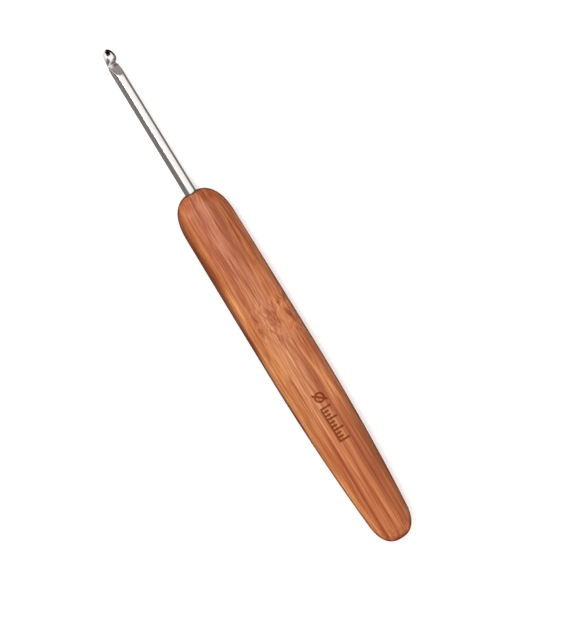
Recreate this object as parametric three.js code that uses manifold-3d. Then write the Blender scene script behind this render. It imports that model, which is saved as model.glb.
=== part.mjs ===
// A 3 mm crochet hook: a polished steel hook whose tang is bonded into a flat bamboo handle.
//
// Millimetres. The hook lies on its underside. +X runs along it towards the tip, +Z comes out of
// the thumb face, and the origin is on the surface it lies on, under the middle of its length.
import * as THREE from "three";
import { LoftGeometry } from "three/addons/geometries/LoftGeometry.js";
import { mergeVertices } from "three/addons/utils/BufferGeometryUtils.js";
import Module from "manifold-3d";

// Overall
const TOTAL_LENGTH = 140;
const EXPOSED_STEEL = 40.7; // from the handle's nose to the tip
const SHAFT_DIAMETER = 3; // the hook's nominal size

// Handle: where it is widest and thickest
const HANDLE_WIDTH = 14.1;
const HANDLE_THICKNESS = 8;
const WIDEST_FROM_TAIL = 50;
const FLAT_SHARE = 0.45; // of the width is flat, on the thumb face and on the underside
const EDGE_FULLNESS = 2.2; // superellipse exponent of the rounded long edges

// Handle: what each side loses from the widest place to the two ends, before the ends are rounded
const TAIL_NARROWING = 2.25;
const NOSE_NARROWING = 0.2;
const TAIL_THINNING = 1;

// Handle: the rounded ends, as superellipse lengths and exponents seen from above and from the side
const NOSE_ROUND = { length: 10, exponent: 2.5 };
const NOSE_ROUND_SIDE = { length: 6, exponent: 2.3 };
const TAIL_ROUND = { length: 6.7, exponent: 2.5 };
const TAIL_ROUND_SIDE = { length: 4.5, exponent: 2.2 };

// Hook head. Its plane of symmetry holds the shaft's axis and the middle of the mouth.
const MOUTH_TURN = THREE.MathUtils.degToRad(35); // mouth turned from the thumb face, about +X
const CROWN_LENGTH = 2.6; // the rounded tip
const HEAD_RISE = 0.66; // the head's middle, above the shaft's axis on the mouth's side
const RISE_START = 2; // behind the tip, where the head starts to come back to the axis
const RISE_END = 6;

// Throat, as distances behind the tip and heights above the shaft's axis
const LIP_BACK = 3.2; // the lip's rear edge at its crest
const THROAT_WALL = 3.65; // the foot of the wall behind the lip, where it turns into the bottom
const THROAT_WALL_HEIGHT = 0.5;
const THROAT_BOTTOM = 3.85;
const THROAT_HEIGHT = 0;
const RAMP_END = 7.9; // where the ramp has climbed back to the shaft's surface

// Tang and bond, inside the handle
const TANG_LENGTH = 26;
const TANG_CHAMFER = 0.4;
const KEY_GROOVES = [6, 12, 18]; // glue grooves, as distances behind the handle's nose
const KEY_WIDTH = 1.2;
const KEY_DEPTH = 0.2;
const BORE_DIAMETER = 3.4;
const BORE_DEPTH = 28;
const DRILL_POINT = THREE.MathUtils.degToRad(118);
const BOND_CLEARANCE = 0.04; // keeps the bond's skin off the tang's and the bore's
const BOND_SETBACK = 0.6; // behind the handle's nose

// Smoothness
const RING_STEPS = 9; // points on each quarter of the handle's section
const END_STEPS = 9; // sections on each rounded end of the handle
const BODY_STEPS = 9; // sections from each end to the widest place
const ROUND_SEGMENTS = 36; // around the steel
const CROWN_STEPS = 9;
const THROAT_STEPS = 10;
const THROAT_CURVE_STEPS = 5;
const END_TRIM = 0.02; // cut off each rounded end, so that it closes on a small flat
const CUT_OVERRUN = 1; // how far a cut reaches past the surface that it opens
const MERGE_DISTANCE = 1e-4;

const tipX = TOTAL_LENGTH / 2;
const tailX = -TOTAL_LENGTH / 2;
const noseX = tipX - EXPOSED_STEEL;
const widestX = tailX + WIDEST_FROM_TAIL;
const shaftRadius = SHAFT_DIAMETER / 2;
const boreRadius = BORE_DIAMETER / 2;

const wasm = await Module();
wasm.setup();

function solidOf(geometry) {
  const bare = new THREE.BufferGeometry();
  bare.setAttribute("position", geometry.getAttribute("position"));
  bare.setIndex(geometry.index);
  const merged = mergeVertices(bare, MERGE_DISTANCE);
  return new wasm.Manifold(
    new wasm.Mesh({
      numProp: 3,
      vertProperties: merged.getAttribute("position").array,
      triVerts: new Uint32Array(merged.index.array),
    }),
  );
}

function geometryOf(solid) {
  const { numProp, vertProperties, triVerts } = solid.getMesh();
  const geometry = new THREE.BufferGeometry();
  geometry.setAttribute("position", new THREE.BufferAttribute(vertProperties, numProp));
  geometry.setIndex(new THREE.BufferAttribute(triVerts, 1));
  geometry.computeVertexNormals();
  return geometry;
}

// The share of its full size that a superellipse end has, at a distance from its extreme.
function endShare(distance, { length, exponent }) {
  const inward = Math.max(0, 1 - (distance + END_TRIM) / length);
  return (1 - inward ** exponent) ** (1 / exponent);
}

// Distances from an end of the handle to its sections, closer together where it turns faster.
function endDistances(length) {
  return Array.from({ length: END_STEPS + 1 }, (_, i) => {
    const angle = (i / END_STEPS) * (Math.PI / 2);
    return length * (1 - Math.cos(angle));
  });
}

function between(start, end, steps) {
  return Array.from({ length: steps }, (_, i) => start + ((end - start) * (i + 1)) / steps);
}

// Where the handle's sections are, from tail to nose.
function handleStations() {
  const tail = endDistances(TAIL_ROUND.length).map((d) => tailX + d);
  const nose = endDistances(NOSE_ROUND.length).map((d) => noseX - d).reverse();
  const toWidest = between(tail.at(-1), widestX, BODY_STEPS);
  const toNose = between(widestX, nose[0], BODY_STEPS);
  return [...tail, ...toWidest, ...toNose, ...nose.slice(1)];
}

function handleHalfWidth(x) {
  const fromWidest = x - widestX;
  const narrowing =
    fromWidest < 0
      ? TAIL_NARROWING * (fromWidest / WIDEST_FROM_TAIL) ** 2
      : NOSE_NARROWING * (fromWidest / (noseX - widestX)) ** 2;
  const full = HANDLE_WIDTH / 2 - narrowing;
  return full * endShare(x - tailX, TAIL_ROUND) * endShare(noseX - x, NOSE_ROUND);
}

// The handle keeps its full thickness from the widest place to the nose, so it lies flat there.
function handleHalfThickness(x) {
  const towardsTail = Math.max(0, widestX - x) / WIDEST_FROM_TAIL;
  const full = HANDLE_THICKNESS / 2 - TAIL_THINNING * towardsTail ** 2;
  return full * endShare(x - tailX, TAIL_ROUND_SIDE) * endShare(noseX - x, NOSE_ROUND_SIDE);
}

// One section: two flats joined by superelliptic edges, counterclockwise seen from the nose.
function handleSection(x) {
  const halfWidth = handleHalfWidth(x);
  const halfThickness = handleHalfThickness(x);
  const flat = FLAT_SHARE * halfWidth;
  const quarter = Array.from({ length: RING_STEPS + 1 }, (_, i) => {
    const angle = (i / RING_STEPS) * (Math.PI / 2);
    const across = Math.abs(Math.cos(angle)) ** (2 / EDGE_FULLNESS);
    const up = Math.sin(angle) ** (2 / EDGE_FULLNESS);
    return [i === RING_STEPS ? flat : flat + (halfWidth - flat) * across, halfThickness * up];
  });
  const downwards = [...quarter].reverse();
  return [
    ...quarter.map(([y, z]) => new THREE.Vector3(x, y, z)),
    ...downwards.map(([y, z]) => new THREE.Vector3(x, -y, z)),
    ...quarter.slice(1).map(([y, z]) => new THREE.Vector3(x, -y, -z)),
    ...downwards.slice(0, -1).map(([y, z]) => new THREE.Vector3(x, y, -z)),
  ];
}

// A solid turned about the X axis. Its profile is a list of [x, radius] from low x to high x.
function turned(profile) {
  const points = profile.map(([x, radius]) => new THREE.Vector2(radius, x));
  return new THREE.LatheGeometry(points, ROUND_SEGMENTS).rotateZ(-Math.PI / 2);
}

function bore() {
  const bottomX = noseX - BORE_DEPTH;
  const point = boreRadius / Math.tan(DRILL_POINT / 2);
  return turned([
    [bottomX - point, 0],
    [bottomX, boreRadius],
    [noseX + CUT_OVERRUN, boreRadius],
    [noseX + CUT_OVERRUN, 0],
  ]);
}

function handle() {
  const body = new LoftGeometry(handleStations().map(handleSection), {
    capStart: true,
    capEnd: true,
  });
  const material = new THREE.MeshStandardMaterial({
    color: 0xb4683c,
    roughness: 0.42,
    metalness: 0,
  });
  const mesh = new THREE.Mesh(geometryOf(solidOf(body).subtract(solidOf(bore()))), material);
  mesh.name = "handle";
  return mesh;
}

// The head's middle rises from the shaft's axis towards the mouth, and its radius closes at the tip.
function headSection(behindTip) {
  const inward = Math.max(0, 1 - (behindTip + END_TRIM) / CROWN_LENGTH);
  const radius = shaftRadius * Math.sqrt(1 - inward ** 2);
  const rise = HEAD_RISE * (1 - THREE.MathUtils.smoothstep(behindTip, RISE_START, RISE_END));
  return roundSection(tipX - behindTip, radius, rise);
}

function roundSection(x, radius, rise = 0) {
  return Array.from({ length: ROUND_SEGMENTS }, (_, i) => {
    const angle = (i / ROUND_SEGMENTS) * 2 * Math.PI;
    return new THREE.Vector3(x, radius * Math.cos(angle), rise + radius * Math.sin(angle));
  });
}

function tangSections() {
  const endX = noseX - TANG_LENGTH;
  const sections = [
    roundSection(endX, shaftRadius - TANG_CHAMFER),
    roundSection(endX + TANG_CHAMFER, shaftRadius),
  ];
  for (const depth of [...KEY_GROOVES].reverse()) {
    const start = noseX - depth - KEY_WIDTH / 2;
    const end = start + KEY_WIDTH;
    sections.push(
      roundSection(start, shaftRadius),
      roundSection(start + KEY_DEPTH, shaftRadius - KEY_DEPTH),
      roundSection(end - KEY_DEPTH, shaftRadius - KEY_DEPTH),
      roundSection(end, shaftRadius),
    );
  }
  return sections;
}

function headSections() {
  const towardsTip = between(RISE_END, CROWN_LENGTH, THROAT_STEPS);
  const crown = Array.from({ length: CROWN_STEPS }, (_, i) => {
    const angle = ((i + 1) / CROWN_STEPS) * (Math.PI / 2);
    return CROWN_LENGTH * (1 - Math.sin(angle));
  });
  return [RISE_END, ...towardsTip, ...crown].map(headSection);
}

// What the throat takes out of the head: a wall behind the lip, a rounded bottom and a long ramp.
function throatCut() {
  const crest = HEAD_RISE + shaftRadius;
  const above = crest + CUT_OVERRUN;
  const slope = (shaftRadius - THROAT_HEIGHT) / (RAMP_END - THROAT_BOTTOM);
  const rampTop = THROAT_BOTTOM + (above - THROAT_HEIGHT) / slope;
  const rampFoot = THROAT_HEIGHT - slope * (THROAT_BOTTOM - THROAT_WALL);
  const outline = new THREE.Shape();
  outline.moveTo(tipX - LIP_BACK, above);
  outline.lineTo(tipX - rampTop, above);
  outline.lineTo(tipX - THROAT_BOTTOM, THROAT_HEIGHT);
  outline.quadraticCurveTo(
    tipX - THROAT_WALL,
    rampFoot,
    tipX - THROAT_WALL,
    THROAT_HEIGHT + THROAT_WALL_HEIGHT,
  );
  outline.lineTo(tipX - LIP_BACK, crest);
  outline.closePath();
  const width = 2 * (shaftRadius + CUT_OVERRUN);
  const options = { depth: width, bevelEnabled: false, curveSegments: THROAT_CURVE_STEPS };
  return new THREE.ExtrudeGeometry(outline, options)
    .rotateX(Math.PI / 2)
    .translate(0, width / 2, 0);
}

function hookShaft() {
  const rod = new LoftGeometry([...tangSections(), ...headSections()], {
    capStart: true,
    capEnd: true,
  });
  const material = new THREE.MeshStandardMaterial({
    color: 0xd8d4d0,
    roughness: 0.12,
    metalness: 1,
  });
  const mesh = new THREE.Mesh(geometryOf(solidOf(rod).subtract(solidOf(throatCut()))), material);
  mesh.name = "hook_shaft";
  mesh.rotation.x = MOUTH_TURN;
  return mesh;
}

// A cured cup of glue that fills the bore around the tang and behind its end.
function tangAdhesive() {
  const mouthX = noseX - BOND_SETBACK;
  const tangEndX = noseX - TANG_LENGTH - BOND_CLEARANCE;
  const outer = boreRadius - BOND_CLEARANCE;
  const inner = shaftRadius + BOND_CLEARANCE;
  const bottomX = noseX - BORE_DEPTH + BOND_CLEARANCE;
  const cup = turned([
    [bottomX, 0],
    [bottomX, outer],
    [mouthX, outer],
    [mouthX, inner],
    [tangEndX, inner],
    [tangEndX, 0],
  ]);
  const material = new THREE.MeshStandardMaterial({
    color: 0xa98a5a,
    roughness: 0.3,
    metalness: 0,
  });
  const mesh = new THREE.Mesh(cup, material);
  mesh.name = "tang_adhesive";
  return mesh;
}

const crochetHook = new THREE.Group();
crochetHook.name = "crochet_hook";
const onAxis = new THREE.Group();
onAxis.position.z = HANDLE_THICKNESS / 2;
onAxis.add(handle(), hookShaft(), tangAdhesive());
crochetHook.add(onAxis);

export default crochetHook;
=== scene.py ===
"""A 3 mm crochet hook: a polished steel hook bonded into a flat handle of browned bamboo.

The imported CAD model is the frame. The hook and the handle are replaced here by fine meshes that
follow the same driving dimensions, and the glue in the handle keeps its CAD mesh.
Lengths in the constants are in millimetres, because the object is small; meshes are in metres.
"""

import math

import bpy
import numpy as np
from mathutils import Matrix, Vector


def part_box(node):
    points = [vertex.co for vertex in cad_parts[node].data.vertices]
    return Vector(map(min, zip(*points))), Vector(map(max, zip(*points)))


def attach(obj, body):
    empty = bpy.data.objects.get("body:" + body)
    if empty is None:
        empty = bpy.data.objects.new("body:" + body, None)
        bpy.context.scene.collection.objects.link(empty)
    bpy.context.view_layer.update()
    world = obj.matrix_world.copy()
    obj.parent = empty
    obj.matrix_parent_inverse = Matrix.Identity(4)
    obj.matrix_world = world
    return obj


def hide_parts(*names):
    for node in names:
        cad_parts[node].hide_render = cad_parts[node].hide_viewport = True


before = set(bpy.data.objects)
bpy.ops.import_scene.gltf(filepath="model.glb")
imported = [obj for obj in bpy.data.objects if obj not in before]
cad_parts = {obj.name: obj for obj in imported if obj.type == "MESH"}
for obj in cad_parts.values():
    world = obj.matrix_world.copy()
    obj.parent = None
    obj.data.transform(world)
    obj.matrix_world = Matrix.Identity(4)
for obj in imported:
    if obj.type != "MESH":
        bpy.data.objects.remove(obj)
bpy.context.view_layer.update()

MM = 0.001

# Driving dimensions that the CAD boxes don't give
EXPOSED_STEEL = 40.7
WIDEST_FROM_TAIL = 50
TAIL_NARROWING = 2.25
NOSE_NARROWING = 0.2
TAIL_THINNING = 1
NOSE_ROUND = (10, 2.5)  # length and superellipse exponent, seen from above
NOSE_ROUND_SIDE = (6, 2.3)
TAIL_ROUND = (6.7, 2.5)
TAIL_ROUND_SIDE = (4.5, 2.2)

# The handle's section: a flat in the middle of each face, and rounded long edges
FLAT_SHARE = 0.45
EDGE_EXPONENT = 2.2

# The bore: a tight mouth, then the drilled hole that holds the glue
MOUTH_RADIUS = 1.54
MOUTH_EDGE = 0.12
MOUTH_DEPTH = 0.45
ROUND_MOUTH = [(0.25, 0.3), (0.05, 0.75), (0, 1.3)]  # out and inward, as shares of that edge
BORE_RADIUS = 1.7
BORE_DEPTH = 28
DRILL_POINT_DEPTH = 1.02

# The hook's head and throat, as distances behind the tip and heights above the shaft's axis
SHAFT_RADIUS = 1.5
MOUTH_TURN = math.radians(35)
CROWN_LENGTH = 2.6
HEAD_RISE = 0.66
RISE_START = 2
RISE_END = 6
LIP_BACK = 3.2
LIP_CREST = HEAD_RISE + SHAFT_RADIUS
THROAT_WALL = 3.65
THROAT_WALL_HEIGHT = 0.5
THROAT_BOTTOM = 3.85
THROAT_HEIGHT = 0
RAMP_END = 7.9
THROAT_CORNER = 0.55  # rounding between the wall and the ramp
LIP_ROUNDING = 0.75  # rounding where the throat's wall meets the head
RIM_ROUNDING = 0.22  # rounding where the throat's ramp meets the shaft
FAN_PIVOT = (4, 0.75)  # in the open throat: the head's sections turn about it

# The tang
TANG_LENGTH = 26
TANG_CHAMFER = 0.4
KEY_GROOVES = (18, 12, 6)
KEY_WIDTH = 1.2
KEY_DEPTH = 0.2

# The size mark engraved in the thumb face
MARK_START = 98.4  # behind the tip, where the mark's first stroke begins
MARK_BASE = 0.72  # its foot, across the handle
MARK_LENGTH = 14
MARK_HEIGHT = 3.1
SCALE_LENGTH = 9
STROKE_WIDTH = 0.46
STROKE_DEPTH = 0.15
STROKE_SOFTNESS = 0.09

# How fine the meshes are
HANDLE_STEP = 0.45
MARK_STEP = 0.085
STEEL_SIDES = 168
SHARPNESS = 0.35  # millimetres of outline that one radian of turn counts for
FAN_SECTIONS = 130

# Where the culm's node crosses the handle, and where the streaks behind it run straight
KNOT_X = -7.6
STRAIGHT_FROM = -35

# Colours across the handle, as shares of its width, and the tints of its streaks. The middle and
# nose ramps hold painted light as well as the bamboo's tone: painted shade on the -Y side and the
# outer rims, a painted lighter band on the +Y side, and on the nose a painted pale sheen in the
# middle and painted shade at the +Y edge
WOOD_TONE_AND_SHADE_ACROSS = [
    (0.06, (0.381, 0.130, 0.052)),
    (0.14, (0.473, 0.152, 0.048)),
    (0.26, (0.518, 0.180, 0.065)),
    (0.40, (0.483, 0.174, 0.072)),
    (0.56, (0.545, 0.210, 0.089)),
    (0.70, (0.572, 0.225, 0.087)),
    (0.82, (0.669, 0.290, 0.105)),
    (0.90, (0.589, 0.219, 0.074)),
    (0.97, (0.239, 0.075, 0.026)),
]
NOSE_TONE_SHEEN_AND_SHADE_ACROSS = [
    (0.06, (0.414, 0.144, 0.056)),
    (0.16, (0.400, 0.118, 0.032)),
    (0.28, (0.414, 0.128, 0.039)),
    (0.42, (0.468, 0.162, 0.071)),
    (0.54, (0.477, 0.167, 0.088)),
    (0.70, (0.597, 0.221, 0.095)),
    (0.79, (0.544, 0.176, 0.057)),
    (0.87, (0.389, 0.110, 0.028)),
    (0.95, (0.244, 0.062, 0.012)),
]
TAIL_ACROSS = [
    (0.10, (0.321, 0.101, 0.032)),
    (0.25, (0.412, 0.120, 0.036)),
    (0.44, (0.459, 0.144, 0.046)),
    (0.50, (0.357, 0.079, 0.015)),
    (0.55, (0.451, 0.133, 0.040)),
    (0.64, (0.493, 0.149, 0.048)),
    (0.69, (0.391, 0.098, 0.020)),
    (0.78, (0.510, 0.153, 0.045)),
    (0.90, (0.506, 0.161, 0.050)),
]
# Colour of a painted highlight along the handle's +Y long edge
PAINTED_EDGE_HIGHLIGHT = (0.76, 0.38, 0.17)
DARKER = (0.71, 0.50, 0.33)
PALER = (1.22, 1.45, 1.65)
# Tint of the fibre bundles, also used as painted shade on the sides and rims
BUNDLE_AND_SHADE = (0.55, 0.40, 0.30)
# Colour of painted shade round the steel, where it enters the handle
MOUTH_SHADE = (0.03, 0.012, 0.007)
BURNT = (0.18, 0.028, 0.004)

# Colours of the steel in its throat and the painted shade in its corner, then what the
# reflections show: the dome, its dark sides, and the floor
THROAT_TONE = (0.88, 0.80, 0.77)
CORNER_SHADE = (0.16, 0.12, 0.10)
DOME = (1.08, 1.07, 1.06)
DOME_ACROSS = [(0.0, (1.02, 0.98, 0.96)), (0.45, (1.16, 1.12, 1.10)), (1.0, (1.16, 1.12, 1.10))]
SIDE_DARK = (0.20, 0.18, 0.17)
FRONT_DARK = (0.004, 0.004, 0.004)
FLOOR_Z = -0.02  # just under the handle, so that no two faces share a plane
FLOOR_DARK = (0.17, 0.15, 0.14)
FLOOR_FRONT = (0.01, 0.01, 0.01)
FLOOR_PALE = (0.75, 0.74, 0.73)

handle_low, handle_high = (np.array(corner_shade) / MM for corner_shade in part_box("handle"))
steel_low, steel_high = (np.array(corner_shade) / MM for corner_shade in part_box("hook_shaft"))
tip_x = steel_high[0]
tail_x = handle_low[0]
nose_x = tip_x - EXPOSED_STEEL
widest_x = tail_x + WIDEST_FROM_TAIL
axis_z = (handle_low[2] + handle_high[2]) / 2
full_half_width = (handle_high[1] - handle_low[1]) / 2
full_half_thickness = (handle_high[2] - handle_low[2]) / 2


# ---------------------------------------------------------------- meshes


def closed_mesh(name, start, rings, end):
    """A closed tube: a point, then rings of points in order, then a point."""
    sides = len(rings[0])
    points = np.vstack([start, *rings, end]) * MM
    last = len(points) - 1
    faces = []
    for j in range(sides):
        k = (j + 1) % sides
        faces.append((0, 1 + k, 1 + j))
        for i in range(len(rings) - 1):
            row, above = 1 + i * sides, 1 + (i + 1) * sides
            faces.append((row + j, row + k, above + k, above + j))
        top = last - sides
        faces.append((top + j, top + k, last))
    mesh = bpy.data.meshes.new(name)
    mesh.from_pydata(points.tolist(), [], faces)
    mesh.polygons.foreach_set("use_smooth", [True] * len(faces))
    mesh.update()
    piece = bpy.data.objects.new(name, mesh)
    bpy.context.scene.collection.objects.link(piece)
    return piece


def rows_of(points, sides):
    """The rings of a tube's points, without its two end points."""
    return points[1:-1].reshape(-1, sides, 3)


def spaced(curve, step):
    """Points of a finely sampled curve, about step(point) apart along it."""
    length = np.linalg.norm(np.diff(curve, axis=0), axis=1)
    middle = (curve[1:] + curve[:-1]) / 2
    weight = np.concatenate([[0], np.cumsum(length / step(middle))])
    count = max(2, math.ceil(weight[-1]) + 1)
    at = np.linspace(0, weight[-1], count)
    return np.stack([np.interp(at, weight, column) for column in curve.T], axis=1)


def smoothstep(value, low, high):
    t = np.clip((value - low) / (high - low), 0, 1)
    return t * t * (3 - 2 * t)


# ---------------------------------------------------------------- the handle


def end_share(distance, shape):
    length, exponent = shape
    inward = np.clip(1 - distance / length, 0, 1)
    return (1 - inward**exponent) ** (1 / exponent)


def half_width(x):
    behind = np.clip((widest_x - x) / WIDEST_FROM_TAIL, 0, None)
    ahead = np.clip((x - widest_x) / (nose_x - widest_x), 0, None)
    full = full_half_width - TAIL_NARROWING * behind**2 - NOSE_NARROWING * ahead**2
    return full * end_share(x - tail_x, TAIL_ROUND) * end_share(nose_x - x, NOSE_ROUND)


def half_thickness(x):
    behind = np.clip((widest_x - x) / WIDEST_FROM_TAIL, 0, None)
    full = full_half_thickness - TAIL_THINNING * behind**2
    ends = end_share(x - tail_x, TAIL_ROUND_SIDE) * end_share(nose_x - x, NOSE_ROUND_SIDE)
    return full * ends


def section_excess(across, up):
    """Below 0 inside the handle's section, whose half-width and half-thickness are both 1."""
    beyond_flat = np.clip((np.abs(across) - FLAT_SHARE) / (1 - FLAT_SHARE), 0, None)
    return beyond_flat**EDGE_EXPONENT + np.abs(up) ** EDGE_EXPONENT - 1


def unit_section():
    """The section's outline as shares of the half-width and half-thickness, from +Y by the top."""
    angle = np.linspace(0, math.pi / 2, 1200)
    across = FLAT_SHARE + (1 - FLAT_SHARE) * np.cos(angle) ** (2 / EDGE_EXPONENT)
    up = np.sin(angle) ** (2 / EDGE_EXPONENT)
    quarter = np.stack([across, up], axis=1)
    over = np.vstack([quarter, quarter[::-1] * (-1, 1)])
    outline = np.vstack([over, -over])
    scale = np.array([full_half_width, full_half_thickness])

    def step(point):
        near_mark = (point[:, 1] > 0) & (point[:, 0] < MARK_BASE + 0.4)
        near_mark &= point[:, 0] > MARK_BASE - MARK_HEIGHT - 0.4
        return np.where(near_mark, MARK_STEP, HANDLE_STEP * 0.6)

    return spaced(outline * scale, step)[:-1] / scale


def handle_stations():
    """Where the sections are, from the tail to where the nose is not much thicker than its bore."""
    x = tail_x + (nose_x - tail_x) * (1 - np.cos(np.linspace(0, math.pi, 6000))) / 2
    thick_enough = (x < widest_x) | (half_thickness(x) > MOUTH_RADIUS + 0.7)
    x = x[thick_enough]
    outline = np.stack([x, half_width(x), half_thickness(x)], axis=1)
    mark_from = tip_x - MARK_START - MARK_LENGTH - 0.4
    mark_to = tip_x - MARK_START + 0.4

    def step(point):
        in_mark = (point[:, 0] > mark_from) & (point[:, 0] < mark_to)
        near_end = np.minimum(point[:, 0] - tail_x, nose_x - point[:, 0])
        plain = np.clip(0.12 + near_end * 0.04, None, HANDLE_STEP)
        return np.where(in_mark, MARK_STEP, plain)

    return spaced(outline, step)[:, 0]


def nose_ring(direction, radius, last_x):
    """Points of the nose at given directions and distances from the axis, found by halving."""
    y, z = radius * direction[:, 0], radius * direction[:, 1]
    low, high = np.full(len(y), last_x - 0.5), np.full(len(y), nose_x - 1e-6)
    for _ in range(40):
        x = (low + high) / 2
        inside = section_excess(y / half_width(x), z / half_thickness(x)) < 0
        low, high = np.where(inside, x, low), np.where(inside, high, x)
    return np.stack([low, y, z], axis=1)


def bore_ring(direction, radius, x):
    y, z = radius * direction[:, 0], radius * direction[:, 1]
    return np.stack([np.broadcast_to(x, y.shape), y, z], axis=1)


def stroke_distance(across, up, strokes):
    """Distance from points of the mark to the nearest of its strokes."""
    nearest = np.full(across.shape, np.inf)
    for path in strokes:
        for (u0, v0), (u1, v1) in zip(path, path[1:]):
            du, dv = u1 - u0, v1 - v0
            along = ((across - u0) * du + (up - v0) * dv) / (du * du + dv * dv)
            along = np.clip(along, 0, 1)
            apart = np.hypot(across - u0 - along * du, up - v0 - along * dv)
            nearest = np.minimum(nearest, apart)
    return nearest


def arc(centre, radius, start, end, stretch=1, steps=28):
    angle = np.radians(np.linspace(start, end, steps))
    u = centre[0] + radius * stretch * np.cos(angle)
    v = centre[1] + radius * np.sin(angle)
    return list(zip(u, v))


def mark_strokes():
    """A diameter sign, and a scale with a tick every millimetre."""
    sign = (1.6, 1.5)
    radius = 1.12
    scale_start = 4.4
    scale_foot = 0.25
    long_tick = 2.75
    short_tick = 1.6
    strokes = [
        arc(sign, radius, 0, 360),
        [(sign[0] - radius, sign[1] - 1.42), (sign[0] + radius, sign[1] + 1.42)],
        [(scale_start, scale_foot), (scale_start + SCALE_LENGTH, scale_foot)],
    ]
    for i in range(SCALE_LENGTH + 1):
        height = long_tick if i % 3 == 0 else short_tick
        strokes.append([(scale_start + i, scale_foot), (scale_start + i, height)])
    return strokes


def mark_share(x, y):
    """1 in the mark's strokes, 0 away from them. It reads from the hook's side to the tail."""
    across = tip_x - MARK_START - x
    up = MARK_BASE - y
    share = np.zeros(x.shape)
    near = (across > -1) & (across < MARK_LENGTH + 1) & (up > -1) & (up < MARK_HEIGHT + 1)
    apart = stroke_distance(across[near], up[near], mark_strokes())
    half = STROKE_WIDTH / 2
    share[near] = 1 - smoothstep(apart, half - STROKE_SOFTNESS, half + STROKE_SOFTNESS)
    return share


def body_rings(shares):
    """Upright sections from the tail to the nose."""
    rings = []
    for x in handle_stations()[1:]:
        y, z = half_width(x) * shares[:, 0], half_thickness(x) * shares[:, 1]
        rings.append(np.stack([np.full(len(y), x), y, z], axis=1))
    return rings


def mouth_rings(last):
    """Rings from the last upright section over the nose, into the mouth and along the bore."""
    rings = []
    reach = np.hypot(last[:, 1], last[:, 2])
    direction = last[:, 1:] / reach[:, None]
    edge_radius = MOUTH_RADIUS + MOUTH_EDGE
    for share in np.linspace(0, 1, 17)[1:]:
        rings.append(nose_ring(direction, reach + (edge_radius - reach) * share, last[0, 0]))
    edge_x = rings[-1][:, 0]
    for out, inward in ROUND_MOUTH:
        radius = MOUTH_RADIUS + out * MOUTH_EDGE
        rings.append(bore_ring(direction, radius, edge_x - inward * MOUTH_EDGE))
    for depth, radius in (
        (MOUTH_DEPTH, MOUTH_RADIUS),
        (MOUTH_DEPTH + 0.05, BORE_RADIUS),
        (BORE_DEPTH, BORE_RADIUS),
    ):
        rings.append(bore_ring(direction, radius, nose_x - depth))
    return rings


def hold(piece, name, values):
    """Keeps a number for each vertex, for the material to read."""
    held = piece.data.attributes.new(name, "FLOAT", "POINT")
    held.data.foreach_set("value", values.astype(np.float32))


def make_handle():
    shares = unit_section()
    rings = body_rings(shares)
    rings += mouth_rings(rings[-1])
    start = [tail_x, 0, 0]
    end = [nose_x - BORE_DEPTH - DRILL_POINT_DEPTH, 0, 0]
    points = np.vstack([start, *rings, end])
    burn = np.where(points[:, 2] > 0, mark_share(points[:, 0], points[:, 1]), 0)
    edge = np.clip(points[:, 1] / np.maximum(half_width(points[:, 0]), 0.01), -1, 1)
    points[:, 2] += axis_z - STROKE_DEPTH * burn
    piece = closed_mesh("bamboo_handle", points[0], rows_of(points, len(shares)), points[-1])
    hold(piece, "burn", burn)
    hold(piece, "edge", edge)
    return piece


# ---------------------------------------------------------------- the steel hook


def smooth_max(a, b, rounding):
    mix = np.clip(0.5 + 0.5 * (a - b) / rounding, 0, 1)
    return b + (a - b) * mix + rounding * mix * (1 - mix)


def steel_excess(behind, across, up):
    """Below 0 inside the steel. behind is measured from the tip, up from the axis to the mouth."""
    rise = HEAD_RISE * (1 - smoothstep(behind, RISE_START, RISE_END))
    crown = np.clip(1 - behind / CROWN_LENGTH, 0, None)
    out = np.sqrt((across**2 + (up - rise) ** 2) / SHAFT_RADIUS**2 + crown**2)
    rod = (out - 1) * SHAFT_RADIUS
    lean = (THROAT_WALL - LIP_BACK) / (LIP_CREST - THROAT_WALL_HEIGHT)
    wall = behind - THROAT_WALL + lean * (up - THROAT_WALL_HEIGHT)
    wall = wall / math.hypot(1, lean)
    slope = (SHAFT_RADIUS - THROAT_HEIGHT) / (RAMP_END - THROAT_BOTTOM)
    ramp = up - THROAT_HEIGHT - slope * (behind - THROAT_BOTTOM)
    ramp = ramp / math.hypot(1, slope)
    removed = -smooth_max(-wall, -ramp, THROAT_CORNER)
    rounding = LIP_ROUNDING + (RIM_ROUNDING - LIP_ROUNDING) * smoothstep(behind, 3.4, 4.6)
    return smooth_max(rod, removed, rounding)


def reach_of_surface(start, direction, furthest):
    """How far each ray goes from inside the steel to its surface, found by halving."""
    low, high = np.zeros(len(direction)), np.full(len(direction), furthest)
    for _ in range(36):
        middle = (low + high) / 2
        at = start + middle[:, None] * direction
        inside = steel_excess(at[:, 0], at[:, 1], at[:, 2]) < 0
        low, high = np.where(inside, middle, low), np.where(inside, high, middle)
    return low


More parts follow.
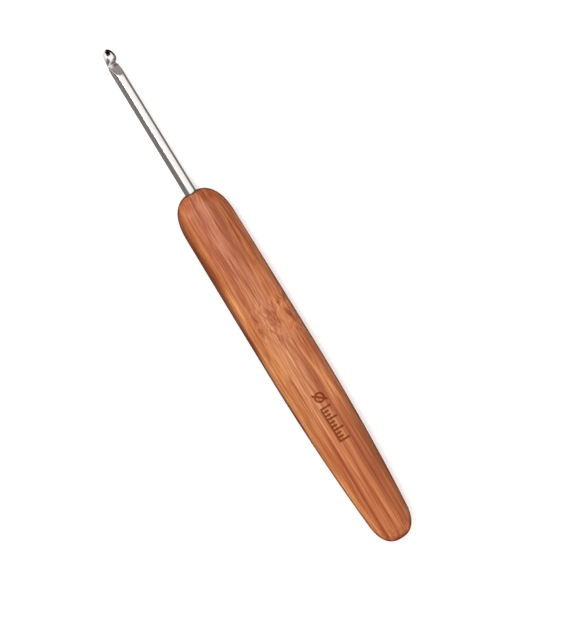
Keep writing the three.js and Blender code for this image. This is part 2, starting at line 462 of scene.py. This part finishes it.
def steel_section(start, up_way, half_height=SHAFT_RADIUS, room=4):
    """A ring round the steel in the plane through start that holds up_way and the across axis.

    Its points are closer where the outline turns sharply, and it starts at the far side's middle.
    Nothing further than room along up_way is looked at, because it may be steel again.
    """
    across_way = np.array([[0, 1, 0]])
    half_width = reach_of_surface(start, across_way, 4.0)[0]
    angle = np.linspace(-math.pi / 2, 1.5 * math.pi, 1441)
    direction = np.cos(angle)[:, None] * half_width * across_way
    direction = direction + np.sin(angle)[:, None] * half_height * up_way
    furthest = room / half_height / np.maximum(np.sin(angle), room / half_height / 12)
    outline = start + reach_of_surface(start, direction, furthest)[:, None] * direction
    outline[-1] = outline[0]
    edge = np.diff(outline, axis=0)
    length = np.linalg.norm(edge, axis=1)
    way = edge / length[:, None]
    turn = np.arccos(np.clip(np.sum(way * np.roll(way, 1, axis=0), axis=1), -1, 1))
    window = np.hanning(61)
    kernel = window / window.sum()
    turn = np.convolve(np.concatenate([turn[-30:], turn, turn[:30]]), kernel, "valid")
    weight = np.concatenate([[0], np.cumsum(length + SHARPNESS * turn)])
    at = np.linspace(0, weight[-1], STEEL_SIDES + 1)[:-1]
    return np.stack([np.interp(at, weight, column) for column in outline.T], axis=1)


def span_on(origin, way):
    """Where a ray from the open throat goes into the steel and out of it, or None if it misses."""
    far = np.linspace(0, 6, 6001)
    at = origin + far[:, None] * way
    inside = np.flatnonzero(steel_excess(at[:, 0], at[:, 1], at[:, 2]) < 0)
    if len(inside) < 2:
        return None
    return far[inside[0]], far[inside[-1]]


def fan_way(angle):
    """A direction in the plane of symmetry: 0 is straight down, 90 degrees is towards the tip."""
    return np.array([-math.sin(angle), 0, -math.cos(angle)])


def crest_angle(pivot):
    """The direction from the pivot that just touches the lip's crest, found by halving."""
    low, high = math.radians(90), math.radians(178)
    for _ in range(40):
        middle = (low + high) / 2
        if span_on(pivot, fan_way(middle)) is None:
            high = middle
        else:
            low = middle
    return low


def head_rings():
    """Sections that turn about the pivot in the throat, from the neck to the lip's crest."""
    pivot = np.array([FAN_PIVOT[0], 0, FAN_PIVOT[1]])
    last = crest_angle(pivot)
    share = np.linspace(0, 1, FAN_SECTIONS + 1)[:-1]
    rings = []
    for angle in last * (share + 0.6 * share * (1 - share) * share):
        way = fan_way(angle)
        near, far = span_on(pivot, way)
        middle = pivot + way * (near + far) / 2
        rings.append(steel_section(middle, -way, (far - near) / 2, (far + near) / 2))
    near, far = span_on(pivot, fan_way(last))
    return rings, pivot + fan_way(last) * (near + far) / 2


def shaft_rings():
    """Upright sections of the tang, the shaft and the ramp, up to the pivot in the throat."""
    tang_end = EXPOSED_STEEL + TANG_LENGTH
    profile = [(tang_end, SHAFT_RADIUS - TANG_CHAMFER), (tang_end - TANG_CHAMFER, SHAFT_RADIUS)]
    for depth in KEY_GROOVES:
        start = EXPOSED_STEEL + depth + KEY_WIDTH / 2
        end = start - KEY_WIDTH
        profile += [
            (start, SHAFT_RADIUS),
            (start - KEY_DEPTH, SHAFT_RADIUS - KEY_DEPTH),
            (end + KEY_DEPTH, SHAFT_RADIUS - KEY_DEPTH),
            (end, SHAFT_RADIUS),
        ]
    rings = []
    for behind, radius in profile:
        ring = steel_section(np.array([behind, 0, 0]), np.array([0, 0, 1]))
        scale = radius / SHAFT_RADIUS
        rings.append(ring * np.array([1, scale, scale]))
    plain = np.linspace(EXPOSED_STEEL, RAMP_END + 1.5, 9)
    ramp = np.linspace(RAMP_END + 1.3, FAN_PIVOT[0], 60)[:-1]
    for behind in np.concatenate([plain, ramp]):
        centre = np.array([behind, 0, -0.4 * smoothstep(-behind, -RAMP_END - 1, -FAN_PIVOT[0])])
        rings.append(steel_section(centre, np.array([0, 0, 1])))
    return rings


def make_hook():
    head, crest = head_rings()
    tang_end = [EXPOSED_STEEL + TANG_LENGTH, 0, 0]
    points = np.vstack([tang_end, *shaft_rings(), *head, crest])
    cos, sin = math.cos(MOUTH_TURN), math.sin(MOUTH_TURN)
    placed = np.stack(
        [
            tip_x - points[:, 0],
            points[:, 1] * cos - points[:, 2] * sin,
            points[:, 1] * sin + points[:, 2] * cos + axis_z,
        ],
        axis=1,
    )
    return closed_mesh("steel_hook", placed[0], rows_of(placed, STEEL_SIDES), placed[-1])


# ---------------------------------------------------------------- materials


class Field:
    """A number that varies over a surface. Each operation on it adds a Math node."""

    def __init__(self, tree, socket):
        self.tree = tree
        self.socket = socket

    def math(self, operation, *others):
        node = self.tree.nodes.new("ShaderNodeMath")
        node.operation = operation
        for slot, value in zip(node.inputs, (self, *others)):
            plug(self.tree, value, slot)
        return Field(self.tree, node.outputs[0])

    def __add__(self, other):
        return self.math("ADD", other)

    def __sub__(self, other):
        return self.math("SUBTRACT", other)

    def __mul__(self, other):
        return self.math("MULTIPLY", other)

    def abs(self):
        return self.math("ABSOLUTE")

    def step(self, low, high):
        """Rises smoothly from 0 at low to 1 at high, or falls if low is above high."""
        node = self.tree.nodes.new("ShaderNodeMapRange")
        node.interpolation_type = "SMOOTHSTEP"
        low, high, start, end = (low, high, 0, 1) if low < high else (high, low, 1, 0)
        for name, value in (
            ("Value", self),
            ("From Min", low),
            ("From Max", high),
            ("To Min", start),
            ("To Max", end),
        ):
            plug(self.tree, value, node.inputs[name])
        return Field(self.tree, node.outputs["Result"])

    def ramp(self, stops):
        """Colours along 0 to 1."""
        node = self.tree.nodes.new("ShaderNodeValToRGB")
        elements = node.color_ramp.elements
        while len(elements) < len(stops):
            elements.new(0.5)
        for element, (position, colour) in zip(elements, stops):
            element.position = position
            element.color = (*colour, 1)
        plug(self.tree, self, node.inputs["Fac"])
        return Field(self.tree, node.outputs["Color"])


def plug(tree, value, slot):
    if isinstance(value, Field):
        tree.links.new(value.socket, slot)
    elif isinstance(value, tuple) and slot.type == "RGBA":
        slot.default_value = (*value, 1)
    else:
        slot.default_value = value


def mix(kind, share, a, b):
    """Colour a with colour b mixed into it by share."""
    tree = a.tree
    node = tree.nodes.new("ShaderNodeMix")
    node.data_type = "RGBA"
    node.blend_type = kind
    for index, value in ((0, share), (6, a), (7, b)):
        plug(tree, value, node.inputs[index])
    return Field(tree, node.outputs[2])


def vector(x, y, z):
    node = x.tree.nodes.new("ShaderNodeCombineXYZ")
    for slot, value in zip(node.inputs, (x, y, z)):
        plug(x.tree, value, slot)
    return Field(x.tree, node.outputs[0])


def noise(place, scale, detail=2, roughness=0.5):
    """Noise between about 0.2 and 0.8, which is 0.5 on average."""
    node = place.tree.nodes.new("ShaderNodeTexNoise")
    for name, value in (
        ("Vector", place),
        ("Scale", scale),
        ("Detail", detail),
        ("Roughness", roughness),
    ):
        plug(place.tree, value, node.inputs[name])
    return Field(place.tree, node.outputs[0])


def millimetres(tree, kind="Object"):
    """The three coordinates of a point, in millimetres."""
    source = tree.nodes.new("ShaderNodeTexCoord").outputs[kind]
    split = tree.nodes.new("ShaderNodeSeparateXYZ")
    tree.links.new(source, split.inputs[0])
    return [Field(tree, out) * 1000 for out in split.outputs]


def bump(height, strength, distance):
    node = height.tree.nodes.new("ShaderNodeBump")
    plug(height.tree, height, node.inputs["Height"])
    node.inputs["Strength"].default_value = strength
    node.inputs["Distance"].default_value = distance * MM
    return Field(height.tree, node.outputs[0])


def new_material(name):
    made = bpy.data.materials.new(name)
    made.use_nodes = True
    return made, made.node_tree, made.node_tree.nodes["Principled BSDF"]


def finish_shader(tree, shader, varied, plain):
    """Links what varies over the surface, and sets what is the same all over it."""
    for name, value in (*varied.items(), *plain.items()):
        plug(tree, value, shader.inputs[name])


def held_value(tree, name):
    node = tree.nodes.new("ShaderNodeAttribute")
    node.attribute_name = name
    return Field(tree, node.outputs["Fac"])


def tint(share, colour, by):
    """The colour, multiplied by another in proportion to share."""
    return mix("MULTIPLY", share, colour, by)


def grain(x, y, depth, edge):
    """The fibres' pattern at four finenesses, and the gloss that follows it, along the handle.

    They wander a little, more so near the nose, and are finer on the long edges.
    """
    slow = vector(x * 0.04, y * 0.12, depth * 0.12)
    wander = (noise(slow, 1, 1) - 0.5) * (x.step(0, 20) * 2.2 + x.step(-50, -20) * 0.8)
    along = x.math("MAXIMUM", STRAIGHT_FROM) + x.math("MINIMUM", STRAIGHT_FROM) * 0.35
    across = y + wander
    side = edge.abs().step(0.8, 1.0)
    level = depth * (side * 2 + 0.35) + wander * 0.6
    broad = noise(vector(along * 0.018, across * 0.45, level * 0.45), 1, 1)
    streak = noise(vector(along * 0.075, across * 1.2, level * 1.2), 1, 3, 0.62)
    fibre = noise(vector(along * 0.12, across * 3.0, level * 3.0), 1, 2, 0.6)
    bundle = noise(vector(along * 0.24, across * 3.6, level * 3.6), 1, 1).step(0.60, 0.70)
    gloss = noise(vector(x * 0.2, across * 2, level * 2), 1, 3)
    return broad, streak, fibre, bundle, gloss


def culm_node(x, y, depth):
    """The culm's node: the band that it covers, and the short fibres that cross there."""
    from_knot = x - KNOT_X
    ragged = (noise(vector(x * 0.1, y * 0.4, depth), 1, 2) - 0.5) * 8
    knot = (from_knot + ragged).abs().step(7, 3) * y.step(4.4, 3.0)
    bend = (noise(vector(x * 0.3, y * 0.4, depth * 0.4), 1, 1) - 0.5) * 1.6
    rising = noise(vector(x * 0.28, (y + from_knot * 0.16 + bend) * 1.9, depth), 1, 2, 0.6)
    falling = noise(vector(x * 0.28, (y - from_knot * 0.2 + bend) * 1.9, depth + 9), 1, 2, 0.6)
    return knot, rising.math("MAXIMUM", falling)


def ground_colour(x, y, edge):
    """The bamboo's colour without its streaks, with painted light in it: middle, tail, nose, then a
    painted highlight along the +Y long edge.
    """
    share = y * (1 / 14) + 0.5
    colour = mix("MIX", x.step(-30, -46), share.ramp(WOOD_TONE_AND_SHADE_ACROSS), share.ramp(TAIL_ACROSS))
    colour = mix("MIX", x.step(-4, 9), colour, share.ramp(NOSE_TONE_SHEEN_AND_SHADE_ACROSS))
    # Painted highlight: a lighter band along the +Y long edge, from x -69 to -9
    edge_highlight = edge.step(0.73, 0.80) * edge.step(0.95, 0.88) * x.step(-9, -20) * x.step(-69, -62)
    return mix("MIX", edge_highlight * 0.75, colour, PAINTED_EDGE_HIGHLIGHT)


def painted_rim_shade(colour, x, y, depth, edge):
    """Painted shade: darkens the sides, the long rims, the sides near both ends and the ring round
    the steel.
    """
    low = depth.abs().step(2.4, 1.0)
    end = x.step(nose_x - 9, nose_x - 3).math("MAXIMUM", x.step(tail_x + 6, tail_x + 2) * 0.6)
    rim = edge.abs().step(0.93, 1.0)
    # Painted shade on the sides and the rims, and more of it on the sides near the ends
    colour = tint(low.math("MAXIMUM", rim) * 0.9, colour, BUNDLE_AND_SHADE)
    colour = tint(low * end, colour, BUNDLE_AND_SHADE)
    around = (y * y + depth * depth).math("SQRT")
    # Painted shade on the handle's end round the steel, where the two parts meet
    mouth = x.step(nose_x - 1.3, nose_x - 0.2) * around.step(4.0, 1.6)
    return mix("MIX", mouth * 0.85, colour, MOUTH_SHADE)


def bamboo_material():
    made, tree, shader = new_material("browned_bamboo")
    x, y, z = millimetres(tree)
    depth = z - axis_z
    edge = held_value(tree, "edge")
    broad, streak, fibre, bundle, gloss = grain(x, y, depth, edge)
    knot, crossing = culm_node(x, y, depth)
    patch = noise(vector(x * 0.25, y * 0.6, depth * 0.6), 1, 1)
    straight = knot * -0.75 + 1

    colour = ground_colour(x, y, edge)
    for share, by in (
        (broad.step(0.42, 0.62) * 0.7, DARKER),
        (streak.step(0.44, 0.62) * straight * 0.75, DARKER),
        (streak.step(0.47, 0.34) * straight * 0.8, PALER),
        (fibre.step(0.48, 0.63) * straight * 0.8, DARKER),
        (fibre.step(0.44, 0.32) * straight * 0.45, PALER),
        (bundle * straight * 0.4, BUNDLE_AND_SHADE),
        (crossing.step(0.53, 0.66) * knot * patch.step(0.2, 0.42), DARKER),
        (crossing.step(0.54, 0.44) * knot * patch.step(0.3, 0.5), PALER),
        (patch.step(0.5, 0.62) * knot * 0.8, DARKER),
    ):
        colour = tint(share, colour, by)
    colour = painted_rim_shade(colour, x, y, depth, edge)

    burnt = held_value(tree, "burn")
    scorch = noise(vector(x, y, depth), 2.3, 2).step(0.2, 0.75) * 0.25 + 0.75
    colour = mix("MIX", burnt * scorch, colour, BURNT)

    height = (streak * 0.5 + fibre * 0.35) * straight + crossing * knot * 0.7 - bundle * 0.3
    finish_shader(
        tree,
        shader,
        {
            "Base Color": colour,
            "Roughness": gloss * 0.25 + 0.3 + burnt * 0.3,
            "Specular IOR Level": burnt * -0.25 + 0.3,
            "Coat Weight": burnt * -0.2 + 0.2,
            "Normal": bump(height, 0.4, 0.06),
        },
        {"Coat Roughness": 0.2, "Coat IOR": 1.45, "IOR": 1.45},
    )
    return made


def steel_material():
    made, tree, shader = new_material("bright_plated_steel")
    x, y, z = millimetres(tree)
    depth = z - axis_z
    behind = (x - tip_x) * -1
    up = depth * math.cos(MOUTH_TURN) - y * math.sin(MOUTH_TURN)
    across = y * math.cos(MOUTH_TURN) + depth * math.sin(MOUTH_TURN)
    polish = noise(vector(x * 0.2, y * 8, depth * 8), 1, 2, 0.6)
    haze = noise(vector(x * 0.4, y * 1.4, depth * 1.4), 1, 3, 0.55)
    wear = noise(vector(x * 1.6, y * 3.5, depth * 3.5), 1, 2).step(0.60, 0.74)

    # The throat is milled and only lightly polished, and its corner is darkened with painted shade
    inside = (across * across + (up * up)).math("SQRT").step(1.5, 1.3)
    throat = behind.step(3.7, 4.0) * behind.step(8.2, 6.2) * inside * up.step(-0.9, -0.3)
    corner_shade = (behind - THROAT_BOTTOM - 0.4).abs().step(0.65, 0.2)
    corner_shade = corner_shade * (across + 0.55).abs().step(1.1, 0.3) * inside
    marks = noise(vector(x * 3, y * 0.8, depth * 0.8), 1, 2)

    colour = haze.ramp([(0.3, (0.80, 0.785, 0.775)), (0.7, (0.88, 0.87, 0.86))])
    colour = mix("MIX", throat * 0.8, colour, THROAT_TONE)
    colour = mix("MIX", corner_shade * 0.85, colour, CORNER_SHADE)
    rough = polish * 0.06 + haze * 0.08 + wear * 0.05 + 0.03 + throat * 0.22
    height = polish * 0.5 + haze * 0.5 + marks * throat * 2
    finish_shader(
        tree,
        shader,
        {"Base Color": colour, "Roughness": rough, "Normal": bump(height, 0.1, 0.01)},
        {"Metallic": 1.0},
    )
    return made


def glue_material():
    made, tree, shader = new_material("cured_glue")
    x, y, z = millimetres(tree)
    cloud = noise(vector(x, y, z), 0.8, 3)
    colour = cloud.ramp([(0.3, (0.30, 0.19, 0.08)), (0.7, (0.52, 0.37, 0.19))])
    bubbles = noise(vector(x, y, z), 3.5, 1).step(0.62, 0.7)
    rough = cloud * 0.2 + 0.12 + bubbles * 0.2
    finish_shader(
        tree,
        shader,
        {"Base Color": colour, "Roughness": rough, "Normal": bump(cloud - bubbles, 0.3, 0.05)},
        {"IOR": 1.5},
    )
    return made


# ---------------------------------------------------------------- the floor, light and camera


def make_floor():
    mesh = bpy.data.meshes.new("studio_floor")
    reach = 3.2
    corners = [(-reach, -reach), (reach, -reach), (reach, reach), (-reach, reach)]
    mesh.from_pydata([(*corner_shade, FLOOR_Z * MM) for corner_shade in corners], [], [(0, 1, 2, 3)])
    made = bpy.data.objects.new("studio_floor", mesh)
    bpy.context.scene.collection.objects.link(made)
    surface = bpy.data.materials.new("pale_paper")
    surface.use_nodes = True
    tree = surface.node_tree
    tree.nodes.clear()
    out = tree.nodes.new("ShaderNodeOutputMaterial")
    paper = tree.nodes.new("ShaderNodeBsdfDiffuse")
    paper.inputs["Color"].default_value = (0.93, 0.93, 0.93, 1)
    lift = tree.nodes.new("ShaderNodeEmission")
    lift.inputs["Color"].default_value = (1, 1, 1, 1)
    lift.inputs["Strength"].default_value = 0.22
    pale = tree.nodes.new("ShaderNodeAddShader")
    tree.links.new(paper.outputs[0], pale.inputs[0])
    tree.links.new(lift.outputs[0], pale.inputs[1])
    x, y, z = millimetres(tree)
    ahead = x.step(tip_x - 4, tip_x + 3)
    card = ahead.ramp([(0, FLOOR_DARK), (1, FLOOR_FRONT)])
    card = mix("MIX", ahead * y.step(-1.5, 1.5), card, FLOOR_PALE)
    mirrored = tree.nodes.new("ShaderNodeBsdfDiffuse")
    tree.links.new(card.socket, mirrored.inputs["Color"])
    path = tree.nodes.new("ShaderNodeLightPath")
    choose = tree.nodes.new("ShaderNodeMixShader")
    tree.links.new(path.outputs["Is Glossy Ray"], choose.inputs[0])
    tree.links.new(pale.outputs[0], choose.inputs[1])
    tree.links.new(mirrored.outputs[0], choose.inputs[2])
    tree.links.new(choose.outputs[0], out.inputs["Surface"])
    mesh.materials.append(surface)


def make_world():
    """A plain pale dome. In reflections it is darker on the +Y side, and low beyond the tip."""
    world = bpy.data.worlds.new("studio")
    bpy.context.scene.world = world
    world.use_nodes = True
    tree = world.node_tree
    tree.nodes.clear()
    source = tree.nodes.new("ShaderNodeTexCoord").outputs["Generated"]
    split = tree.nodes.new("ShaderNodeSeparateXYZ")
    tree.links.new(source, split.inputs[0])
    x, y, z = (Field(tree, out) for out in split.outputs)
    lean = y.math("ARCTAN2", z) * math.degrees(1)
    beyond_tip = x.step(0.10, 0.30)
    side = lean.step(0, 46) * (beyond_tip * -1 + 1)
    front = x.step(0.34, 0.50) * y.step(0.62, 0.36) * (x * 1.35 + y).step(-0.14, 0.1)
    light = (lean * (1 / 180) + 0.5).ramp(DOME_ACROSS)
    light = mix("MIX", side, light, SIDE_DARK)
    light = mix("MIX", lean.step(-74, -90), light, SIDE_DARK)
    light = mix("MIX", front, light, FRONT_DARK)
    light = mix("MIX", z.step(0.0, -0.06), light, SIDE_DARK)
    reflected = tree.nodes.new("ShaderNodeBackground")
    tree.links.new(light.socket, reflected.inputs["Color"])
    plain = tree.nodes.new("ShaderNodeBackground")
    plain.inputs["Color"].default_value = (*DOME, 1)
    path = tree.nodes.new("ShaderNodeLightPath")
    choose = tree.nodes.new("ShaderNodeMixShader")
    out = tree.nodes.new("ShaderNodeOutputWorld")
    tree.links.new(path.outputs["Is Glossy Ray"], choose.inputs[0])
    tree.links.new(plain.outputs[0], choose.inputs[1])
    tree.links.new(reflected.outputs[0], choose.inputs[2])
    tree.links.new(choose.outputs[0], out.inputs["Surface"])


def make_key_light():
    """A small soft light above the nose, for the glaze's highlight there."""
    lamp = bpy.data.lights.new("key", "AREA")
    lamp.shape = "DISK"
    lamp.size = 0.06
    lamp.energy = 0.22
    made = bpy.data.objects.new("key", lamp)
    bpy.context.scene.collection.objects.link(made)
    aim = np.array([nose_x - 6, 2.8, 2 * axis_z]) * MM
    tilt = math.radians(16)
    way = math.radians(42)
    reach = 0.32
    made.location = aim + reach * np.array(
        [math.sin(tilt) * math.cos(way), math.sin(tilt) * math.sin(way), math.cos(tilt)]
    )
    made.rotation_euler = (0, tilt, way)
    made.visible_camera = False


def make_camera(centre, length):
    """Straight above, turned so that the hook points up and to the left."""
    turn = math.radians(121.44)
    right = np.array([math.cos(turn), -math.sin(turn), 0])
    up = np.array([math.sin(turn), math.cos(turn), 0])
    lens = bpy.data.cameras.new("camera")
    lens.lens = 200
    lens.sensor_width = 36
    made = bpy.data.objects.new("camera", lens)
    bpy.context.scene.collection.objects.link(made)
    height = 1.12607 * length  # what the picture takes in, at the height of the axis
    aim = centre + length * (0.06164 * right - 0.04743 * up)
    made.location = aim + np.array([0, 0, height * lens.lens / lens.sensor_width])
    made.rotation_euler = (0, 0, -turn)
    bpy.context.scene.camera = made


handle = make_handle()
handle.data.materials.append(bamboo_material())
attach(handle, "root")
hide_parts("handle")

hook = make_hook()
hook.data.materials.append(steel_material())
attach(hook, "root")
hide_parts("hook_shaft")

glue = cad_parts["tang_adhesive"]
glue.material_slots[0].material = glue_material()

centre = np.array([tip_x + tail_x, 0, 2 * axis_z]) / 2 * MM
make_floor()
make_world()
make_key_light()
make_camera(centre, (tip_x - tail_x) * MM)
bpy.context.scene.view_settings.view_transform = "Standard"

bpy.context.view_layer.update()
